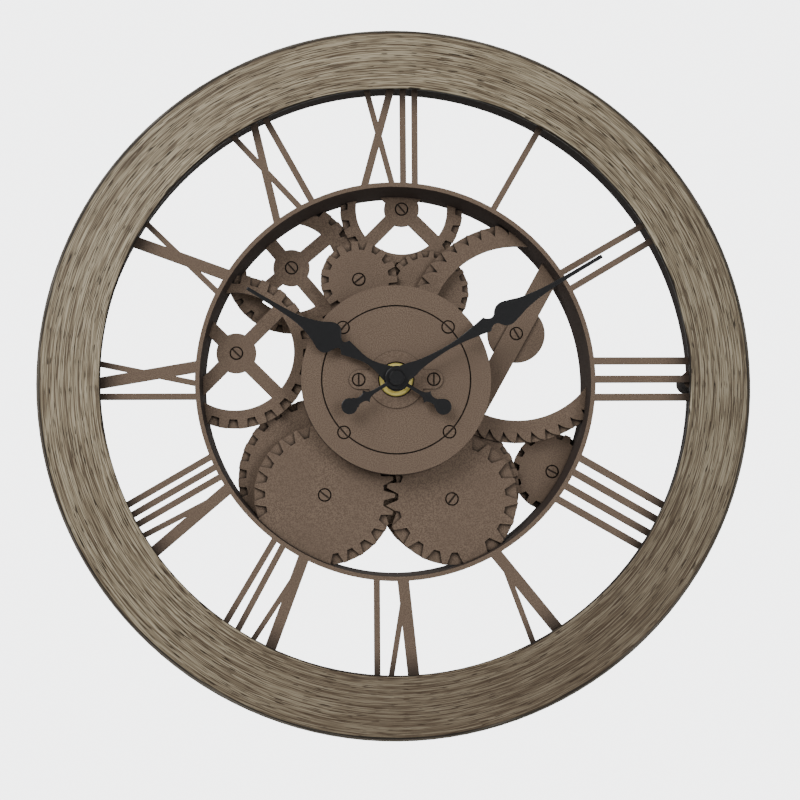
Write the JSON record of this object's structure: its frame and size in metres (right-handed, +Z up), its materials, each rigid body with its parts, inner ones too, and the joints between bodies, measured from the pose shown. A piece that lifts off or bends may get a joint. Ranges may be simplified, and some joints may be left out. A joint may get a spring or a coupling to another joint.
{
  "type": "skeleton wall clock",
  "caption": "Round skeleton wall clock with roman numerals as open bars, a toothed wheel relief round the centre plate, spade hands and a quartz movement.",
  "frame": {"origin": "on the axis of the hands, half-way between the front of their cap and the wall", "axes": "+Z up to twelve o'clock, the dial looks to -Y, +X to three o'clock"},
  "size_m": [0.303, 0.04, 0.303],
  "materials": {
    "frame_wood": "moulded plastic with a brushed wood-effect paint",
    "dial_paint": "brown fine-grained metallic paint",
    "hand_black": "matt black paint",
    "nut_brass": "turned brass",
    "movement_plastic": "black moulded plastic",
    "washer_rubber": "black rubber",
    "board": "green solder mask",
    "copper": "enamelled copper wire",
    "steel": "plated steel",
    "magnet": "moulded magnet with a plastic pinion",
    "wheel_white": "natural white plastic",
    "cell_can": "printed film sleeve over the can, left plain"
  },
  "bodies": {
    "clock": {"frame": "frame_wood", "dial_skeleton": "dial_paint", "centre_plate": "dial_paint", "yoke_plate": "dial_paint", "centre_screws": "dial_paint", "yoke_screws": "dial_paint", "gear_left": "dial_paint", "gear_upper_left": "dial_paint", "gear_top": "dial_paint", "gear_small_front": "dial_paint", "gear_small_rear": "dial_paint", "ratchet_wheel": "dial_paint", "bridge_arm": "dial_paint", "gear_lower_left": "dial_paint", "gear_lower_left_rear": "dial_paint", "gear_lower_right": "dial_paint", "gear_lower_right_rear": "dial_paint", "gear_far_right": "dial_paint", "gear_screws": "dial_paint", "brass_nut": "nut_brass", "movement_case": "movement_plastic", "movement_cover": "movement_plastic", "movement_washer": "washer_rubber", "circuit_board": "board", "coil": "copper", "stator": "steel", "battery_contacts": "steel", "hanger_plate": "steel", "hanger_screws": "steel", "frame_screw": "steel"},
    "minute": {"minute_hand": "hand_black", "hand_cap": "hand_black", "minute_arbor": "steel"},
    "hour": {"hour_hand": "hand_black", "hour_wheel": "wheel_white"},
    "motion": {"motion_wheel": "wheel_white"},
    "setting": {"setting_knob": "movement_plastic"},
    "centre": {"centre_wheel": "wheel_white"},
    "third": {"third_wheel": "wheel_white"},
    "second": {"second_wheel": "wheel_white"},
    "intermediate": {"intermediate_wheel": "wheel_white"},
    "magnet_rotor": {"rotor": "magnet"},
    "cell": {"battery": "cell_can"}
  },
  "joints": [
    {"name": "minute_turn", "type": "hinge", "parent": "clock", "child": "minute", "pos_m": [0, 0, 0], "axis": [0, 1, 0], "continuous": true},
    {"name": "hour_turn", "type": "hinge", "parent": "clock", "child": "hour", "pos_m": [0, 0, 0], "axis": [0, 1, 0], "continuous": true},
    {"name": "motion_turn", "type": "hinge", "parent": "clock", "child": "motion", "pos_m": [0, 0, 0.00672], "axis": [0, 1, 0], "continuous": true},
    {"name": "setting_turn", "type": "hinge", "parent": "clock", "child": "setting", "pos_m": [-0.00117, 0, 0.01334], "axis": [0, 1, 0], "continuous": true},
    {"name": "rotor_turn", "type": "hinge", "parent": "clock", "child": "magnet_rotor", "pos_m": [0.01409, 0, 0.01086], "axis": [0, 1, 0], "continuous": true},
    {"name": "intermediate_turn", "type": "hinge", "parent": "clock", "child": "intermediate", "pos_m": [0.01083, 0, 0.00191], "axis": [0, 1, 0], "continuous": true},
    {"name": "second_turn", "type": "hinge", "parent": "clock", "child": "second", "pos_m": [0, 0, 0], "axis": [0, 1, 0], "continuous": true},
    {"name": "third_turn", "type": "hinge", "parent": "clock", "child": "third", "pos_m": [-0.00873, 0, 0.00504], "axis": [0, 1, 0], "continuous": true},
    {"name": "centre_turn", "type": "hinge", "parent": "clock", "child": "centre", "pos_m": [0, 0, 0], "axis": [0, 1, 0], "continuous": true},
    {"name": "cell_out", "type": "slide", "parent": "clock", "child": "cell", "axis": [0, 1, 0], "range_m": [0, 0.03]}
  ],
  "couplings": [
    {"joint": "hour_turn", "follows": "minute_turn", "ratio": 0.083333},
    {"joint": "motion_turn", "follows": "minute_turn", "ratio": -0.33333},
    {"joint": "setting_turn", "follows": "minute_turn", "ratio": 1},
    {"joint": "intermediate_turn", "follows": "rotor_turn", "ratio": -0.13333},
    {"joint": "second_turn", "follows": "rotor_turn", "ratio": 0.033333},
    {"joint": "third_turn", "follows": "rotor_turn", "ratio": -0.0044444},
    {"joint": "centre_turn", "follows": "rotor_turn", "ratio": 0.00055556}
  ]
}
